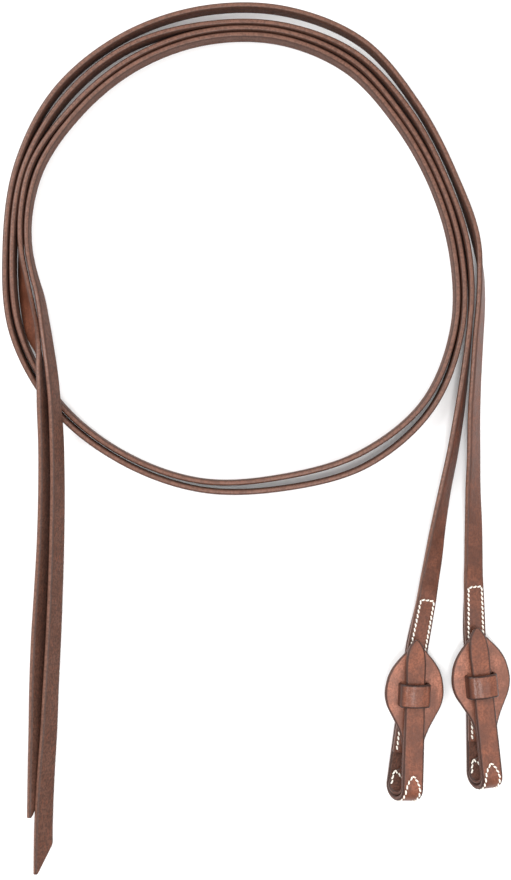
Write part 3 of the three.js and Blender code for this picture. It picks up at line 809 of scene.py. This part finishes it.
def studio_floor():
    """A plain pale light table under everything."""
    n = Nodes("pale_table")
    n.shader.inputs["Base Color"].default_value = (0.85, 0.85, 0.85, 1)
    n.shader.inputs["Roughness"].default_value = 0.9
    n.shader.inputs["Emission Color"].default_value = (1, 0.99, 0.98, 1)
    n.shader.inputs["Emission Strength"].default_value = 0.1
    mesh = bpy.data.meshes.new("table")
    corners = [(-3, -3, 0), (3, -3, 0), (3, 3, 0), (-3, 3, 0)]
    mesh.from_pydata(corners, [], [(0, 1, 2, 3)])
    mesh.materials.append(n.material)
    table = bpy.data.objects.new("table", mesh)
    bpy.context.scene.collection.objects.link(table)


# ---- Camera and light -------------------------------------------------------------------------

def make_camera():
    """Straight down over the reins."""
    data = bpy.data.cameras.new("camera")
    data.sensor_width = 36
    data.lens = CAMERA_LENS
    camera = bpy.data.objects.new("camera", data)
    camera.location = (SHIFT[0] + CAMERA_SHIFT[0], SHIFT[1] + CAMERA_SHIFT[1], CAMERA_HEIGHT)
    bpy.context.scene.collection.objects.link(camera)
    bpy.context.scene.camera = camera


def area_light(name, place, size, power):
    """A square soft light, `size` metres wide and `power` watts, facing the table's middle."""
    data = bpy.data.lights.new(name, "AREA")
    data.size = size
    data.energy = power
    light = bpy.data.objects.new(name, data)
    light.location = place
    light.rotation_euler = (-Vector(place)).to_track_quat("-Z", "Y").to_euler()
    bpy.context.scene.collection.objects.link(light)


def light_studio():
    """An even white tent with a broad soft light from the upper left."""
    world = bpy.data.worlds.new("tent")
    world.use_nodes = True
    background = world.node_tree.nodes["Background"]
    background.inputs["Color"].default_value = (1, 1, 1, 1)
    background.inputs["Strength"].default_value = 0.95
    bpy.context.scene.world = world
    area_light("left_softbox", (-1.5, 0.9, 1.7), size=1.4, power=46)
    area_light("right_softbox", (1.6, -0.3, 1.8), size=1.4, power=16)
    area_light("front_softbox", (0.17, -0.44, 1.4), size=0.4, power=9)
    bpy.context.scene.view_settings.view_transform = "Standard"


# ---- Pieces of a rein -------------------------------------------------------------------------

def tail_shape(end):
    """A tail's `shape`: its slanting cut, with the long point rounded off."""
    def shape(place, across, out):
        share = smooth_step(end - TAIL_SLANT_RUN, end, place)
        edge = STRAP_WIDTH / 2
        blunt = TAIL_TIP_DROP * smooth_step(edge - TAIL_TIP_WIDTH, edge, across)
        return share * (TAIL_SLANT * across / STRAP_WIDTH - blunt), 0.0
    return shape


def lap_seam():
    """The U-shaped seam through the lap, as (place along the rein, across) corners."""
    side = STRAP_WIDTH / 2 - SEAM_INSET
    start = 2 * MM
    top = LAP_TOP - REIN_END - 5 * MM
    return [(start, side), (top - 1 * MM, side), (top, side - 1 * MM),
            (top, 1 * MM - side), (top - 1 * MM, -side), (start, -side)]


def point_seam(tip, foot):
    """The pointed end of the fold's seam on the back leg, its tip nearer the raised edge."""
    side = STRAP_WIDTH / 2 - SEAM_INSET
    reach = foot - tip
    return [(foot, side), (foot - 0.6 * reach, 0.98 * side), (tip, 0.85 * side),
            (foot - 0.7 * reach, 0.1 * side), (foot, -0.9 * side)]


def fold_seam(back_tip, back_foot, front_foot, front_tip):
    """A closed seam round the fold: a point on each leg and a row along each edge."""
    side = STRAP_WIDTH / 2 - SEAM_INSET
    front = [(front_foot - 5 * MM, side), (front_foot, 0.88 * side),
             (front_tip - 4 * MM, 0.55 * side), (front_tip, 0)]
    back_down = [(place, -across) for place, across in front[-2::-1]]
    round_fold = [(back_foot + 4 * MM, -side)] + point_seam(back_tip, back_foot)[::-1]
    return front + back_down + round_fold + front[:1]


def make_rein(side, rein, bit_end, materials):
    """The rein in two lengths: one that runs up onto the bit end, and the coil with its tail."""
    whole = whole_rein(rein, bit_end)
    end = whole["length"][-1]
    join = place_of(whole, np.array([*rein["leg"][1][:2], 0]) + SHIFT)
    seam = lap_seam()

    lap = at_lengths(whole, steps(0, join, 1.1 * MM))
    leg = strip(f"{side}_sewn_leg", lap, STRAP_WIDTH / 2, REIN_THICKNESS, materials["rein"],
                rounded=(True, False), face_points=23, shape=pressed(seam))
    coil = strip(f"{side}_coiled_strap", between(whole, join, end), STRAP_WIDTH / 2,
                 REIN_THICKNESS, materials["rein"], rounded=(False, True), shape=tail_shape(end))
    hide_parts(f"{side}_rein_bit_leg")
    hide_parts(f"{side}_rein_coil", f"{side}_rein_tail")

    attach(coil, "coil")
    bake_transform(leg)
    threads = stitches(f"{side}_lap_stitches", whole, seam, REIN_THICKNESS / 2, materials["thread"])
    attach(threads, f"{side}_bit_end")
    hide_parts(f"{side}_lap_thread")


def make_billet(side, bit_end, materials):
    """The billet in four lengths, parted between its hinges where the tongue stays straight."""
    whole = whole_billet(bit_end)
    end = whole["length"][-1]

    def front_length(place):
        return end - (TONGUE_END - place) / math.cos(math.atan(TONGUE_SLOPE))

    seam = fold_seam(LAP_TOP - BACK_SEAM_TIP, LAP_TOP - BACK_SEAM_FOOT,
                     front_length(FRONT_SEAM_FOOT), front_length(FRONT_SEAM_TIP))
    middle = bit_end.middle_hinge()
    last = bit_end.keeper_at - HINGE_TO_KEEPER
    parts = [0, front_length(TONGUE_ROOT_END), front_length((HINGE_FOLD + middle) / 2),
             front_length((middle + last) / 2), end]
    names = ["billet", "tongue_root", "tongue_rise", "tongue_point"]
    pieces = []
    for i, name in enumerate(names):
        stops = at_lengths(whole, steps(parts[i], parts[i + 1], 1.2 * MM))
        up_front = TONGUE_END - (end - stops["length"]) * math.cos(math.atan(TONGUE_SLOPE))
        widths = outline_at(TONGUE_OUTLINE, up_front)
        widths = widths - SKIVE_INSET * smooth_step(SKIVE_RUN, 0, stops["length"])
        pieces.append(strip(f"{side}_{name}", stops, widths, BILLET_THICKNESS, materials["bit_end"],
                            rounded=(i == 0, i == 3), face_points=23, shape=skived(pressed(seam))))

    bodies = [f"{side}_bit_end", f"{side}_tongue_lower_body", f"{side}_tongue_middle_body",
              f"{side}_tongue_tip_body"]
    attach(pieces[0], bodies[0])
    hinges = [(HINGE_FOLD + 1.5 * MM, 4 * MM), (middle, 7 * MM), (last, 4 * MM)]
    for piece, a, b, (place, reach) in zip(pieces[1:], bodies, bodies[1:], hinges):
        start, finish = bit_end.front([place - reach, place + reach], [0, 0],
                                      tongue_face(np.array([place - reach, place + reach])))
        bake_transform(piece)
    for piece, node in zip(pieces, ("loop_billet", "tongue_lower", "tongue_middle", "tongue_tip")):
        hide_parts(f"{side}_{node}")

    threads = stitches(f"{side}_fold_stitches", whole, seam, BILLET_THICKNESS / 2,
                       materials["thread"])
    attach(threads, bodies[0])
    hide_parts(f"{side}_fold_thread")


def make_tab(side, bit_end, materials):
    """The slotted tab, with the stitches that show inside the fold."""
    whole, half_widths = whole_tab(bit_end)
    seam = point_seam(LINER_SEAM_TIP, LINER_SEAM_FOOT)

    def shape(place, across, out):
        droop = DISC_DROOP * np.maximum(np.abs(across) - STRAP_WIDTH / 2, 0) ** 2
        return 0.0, pressed(seam, side=-1)(place, across, out)[1] - droop

    tab = strip(f"{side}_tab", whole, half_widths, TAB_THICKNESS, materials["tab"],
                face_points=31, shape=shape)
    cut_slot(tab, bit_end)
    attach(tab, f"{side}_bit_end")
    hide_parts(f"{side}_slotted_tab")
    threads = stitches(f"{side}_inner_stitches", whole, seam, -TAB_THICKNESS / 2,
                       materials["thread"])
    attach(threads, f"{side}_bit_end")


def cut_slot(tab, bit_end):
    """Cuts the keeper's slot through the disc, with rounded corners."""
    turn = np.radians(np.arange(0, 360, 15) + 7.5)
    places = bit_end.keeper_at + np.sin(turn) * SLOT_CORNER + np.sign(np.sin(turn)) * (
        SLOT_HALF_LENGTH - SLOT_CORNER)
    across = np.cos(turn) * SLOT_CORNER + np.sign(np.cos(turn)) * (SLOT_HALF_WIDTH - SLOT_CORNER)
    rings = [bit_end.front(places, across, np.full_like(places, height))
             for height in (SLOT_CUT_FROM, SLOT_CUT_TO)]
    cutter = skin("slot_cutter", np.array(rings), tab.data.materials[0])
    wall = np.zeros((len(cutter.data.vertices), 2))
    set_uv(cutter.data, "flat", wall)
    set_uv(cutter.data, "deep", wall + (0, 1 * MM))
    modifier = tab.modifiers.new("slot", "BOOLEAN")
    modifier.object = cutter
    modifier.solver = "EXACT"
    depsgraph = bpy.context.evaluated_depsgraph_get()
    slotted = bpy.data.meshes.new_from_object(tab.evaluated_get(depsgraph))
    tab.modifiers.clear()
    tab.data = slotted
    slotted.set_sharp_from_angle(angle=math.radians(50))
    bpy.data.objects.remove(cutter)


def make_keeper(side, bit_end, materials):
    """The keeper: a band up one side of the straps, over the tongue, and down the other side."""
    half = KEEPER_THICKNESS / 2
    reach = KEEPER_HALF_WIDTH - half
    foot = BILLET_THICKNESS - 0.9 * MM
    roof = tongue_face(bit_end.keeper_at - KEEPER_LENGTH / 2) + GAP + KEEPER_PLAY + half
    bend = KEEPER_BEND
    turn = np.radians(np.arange(0, 91, 9))
    side_line = np.stack([np.full(8, reach), np.linspace(foot, roof - bend, 8)], axis=1)
    corner = np.stack([reach - bend + bend * np.cos(turn),
                       roof - bend + bend * np.sin(turn)], axis=1)
    crown = np.linspace(reach - bend, 0, 9)[1:-1]
    top = np.stack([crown, roof + KEEPER_CROWN * (1 - (crown / (reach - bend)) ** 2)], axis=1)
    half_line = np.concatenate([side_line, corner[1:], top])
    line = np.concatenate([half_line, [(0, roof + KEEPER_CROWN)], half_line[::-1] * (-1, 1)])
    points = bit_end.front(np.full(len(line), bit_end.keeper_at), line[:, 0], line[:, 1])
    along = unit(np.gradient(points, axis=0))
    across = np.tile(bit_end.along, (len(points), 1))
    band = measured(points, along, across, np.cross(along, across))
    band = at_lengths(band, steps(0, band["length"][-1], 1 * MM))
    band["length"] = band["length"] - band["length"][-1] / 2
    keeper = strip(f"{side}_keeper_band", band, KEEPER_LENGTH / 2, KEEPER_THICKNESS,
                   materials["keeper"], face_points=13)
    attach(keeper, f"{side}_bit_end")
    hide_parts(f"{side}_keeper")


def main():
    make_camera()
    bit_end_edge = (0.075, 0.028, 0.018)
    bit_end_flesh = (0.09, 0.038, 0.025)
    materials = {
        "rein": leather("rein_leather", (0.129, 0.0425, 0.0225), (0.125, 0.057, 0.038),
                        (0.085, 0.0345, 0.0212), burnish_and_painted_shade=0.6),
        "bit_end": leather("bit_end_leather", (0.172, 0.0545, 0.0275), bit_end_edge, bit_end_flesh,
                           mottled=0.35),
        "tab": leather("bit_end_leather", (0.3, 0.115, 0.071), bit_end_edge, bit_end_flesh,
                       mottled=0.4),
        # The keeper's near-black edge colour is partly its burnished edge and partly painted shade
        # from the slot round it; it also colours the keeper's shaded ends.
        "keeper": leather("keeper_leather", (0.17, 0.054, 0.0275), (0.03, 0.012, 0.009),
                          bit_end_flesh, roughness=0.28,
                          painted_shade_ends=(KEEPER_PAINTED_SHADE_FROM, KEEPER_PAINTED_SHADE_TO)),
        "thread": waxed_thread("thread", (0.88, 0.83, 0.74, 1)),
    }
    for side, rein in REINS.items():
        bit_end = BitEnd(rein)
        make_rein(side, rein, bit_end, materials)
        make_billet(side, bit_end, materials)
        make_tab(side, bit_end, materials)
        make_keeper(side, bit_end, materials)
    studio_floor()
    light_studio()


main()
